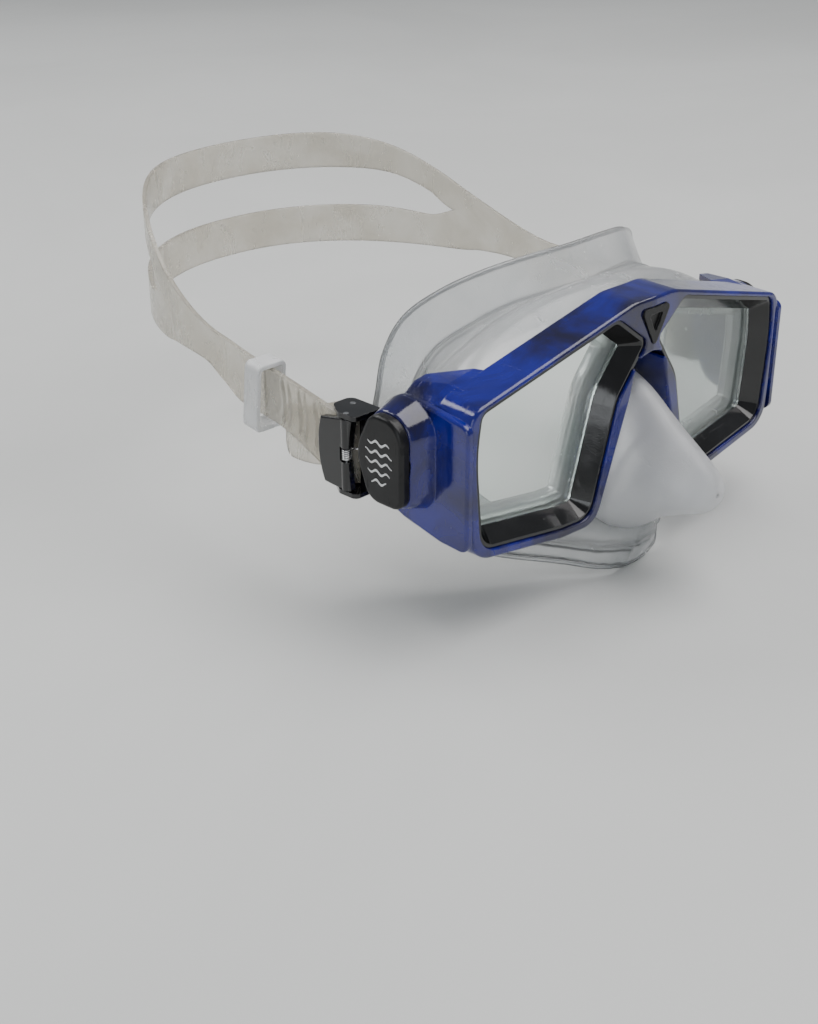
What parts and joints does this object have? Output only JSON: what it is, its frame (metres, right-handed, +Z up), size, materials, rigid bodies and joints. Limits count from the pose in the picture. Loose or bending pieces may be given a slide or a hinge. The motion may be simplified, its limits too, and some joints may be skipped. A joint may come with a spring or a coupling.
{
  "type": "diving mask",
  "caption": "Two-window diving mask with blue frame, clear silicone skirt and nose pocket, swivelling strap buckles and a split head strap.",
  "frame": {"origin": "in the plane of symmetry between the two windows, 5 mm behind the front of the frame, on the line that the wearer looks along", "axes": "+X is the wearer's left, the mask faces -Y, +Z is up; the strap loops back along +Y"},
  "size_m": [0.1832, 0.2389, 0.1074],
  "materials": {
    "frame_blue": "translucent navy blue polycarbonate, polished",
    "black_gloss": "polished black",
    "black_satin": "satin black",
    "lens_glass": "clear toughened glass",
    "clear_silicone": "clear silicone, slightly milky",
    "strap_silicone": "clear silicone, slightly yellowed",
    "white_silicone": "milky white, satin",
    "steel": "stainless"
  },
  "bodies": {
    "root": {"front_frame": "frame_blue", "bridge_clip": "black_satin", "skirt": "clear_silicone", "strap": "strap_silicone", "lens_retainer_right": "black_gloss", "lens_retainer_left": "black_gloss", "lens_right": "lens_glass", "lens_left": "lens_glass", "boss_cap_right": "black_satin", "boss_cap_left": "black_satin", "pivot_screw_right": "steel", "pivot_screw_left": "steel"},
    "buckle_right": {"buckle_body_right": "black_gloss", "roller_pin_right": "steel", "lever_pin_right": "steel", "lever_spring_right": "steel"},
    "lever_right": {"release_lever_right": "black_gloss"},
    "roller_right": {"strap_roller_right": "black_satin"},
    "keeper_right": {"strap_keeper_right": "white_silicone"},
    "buckle_left": {"buckle_body_left": "black_gloss", "roller_pin_left": "steel", "lever_pin_left": "steel", "lever_spring_left": "steel"},
    "lever_left": {"release_lever_left": "black_gloss"},
    "roller_left": {"strap_roller_left": "black_satin"},
    "keeper_left": {"strap_keeper_left": "white_silicone"}
  },
  "joints": [
    {"name": "buckle_swivel_right", "type": "hinge", "parent": "root", "child": "buckle_right", "pos_m": [-0.0861, 0.023, -0.0065], "axis": [1, 0, 0], "range_deg": [-20, 20], "deforming": ["strap"]},
    {"name": "release_lever_right", "type": "hinge", "parent": "buckle_right", "child": "lever_right", "pos_m": [-0.0895, 0.0402, -0.01], "axis": [0, 0, 1], "range_deg": [0, 35], "stiffness_Nm_per_rad": 0.004, "springref_deg": -17.19, "deforming": ["lever_spring_right"]},
    {"name": "roller_spin_right", "type": "hinge", "parent": "buckle_right", "child": "roller_right", "pos_m": [-0.0826, 0.0446, -0.01], "axis": [0, 0, 1], "continuous": true},
    {"name": "keeper_slide_right", "type": "slide", "parent": "root", "child": "keeper_right", "axis": [0, 0.9975, 0.0707], "range_m": [0, 0.008]},
    {"name": "buckle_swivel_left", "type": "hinge", "parent": "root", "child": "buckle_left", "pos_m": [0.0861, 0.023, -0.0065], "axis": [1, 0, 0], "range_deg": [-20, 20], "deforming": ["strap"]},
    {"name": "release_lever_left", "type": "hinge", "parent": "buckle_left", "child": "lever_left", "pos_m": [0.0895, 0.0402, -0.01], "axis": [0, 0, -1], "range_deg": [0, 35], "stiffness_Nm_per_rad": 0.004, "springref_deg": -17.19, "deforming": ["lever_spring_left"]},
    {"name": "roller_spin_left", "type": "hinge", "parent": "buckle_left", "child": "roller_left", "pos_m": [0.0826, 0.0446, -0.01], "axis": [0, 0, 1], "continuous": true},
    {"name": "keeper_slide_left", "type": "slide", "parent": "root", "child": "keeper_left", "axis": [0, 0.9975, 0.0707], "range_m": [0, 0.008]}
  ]
}
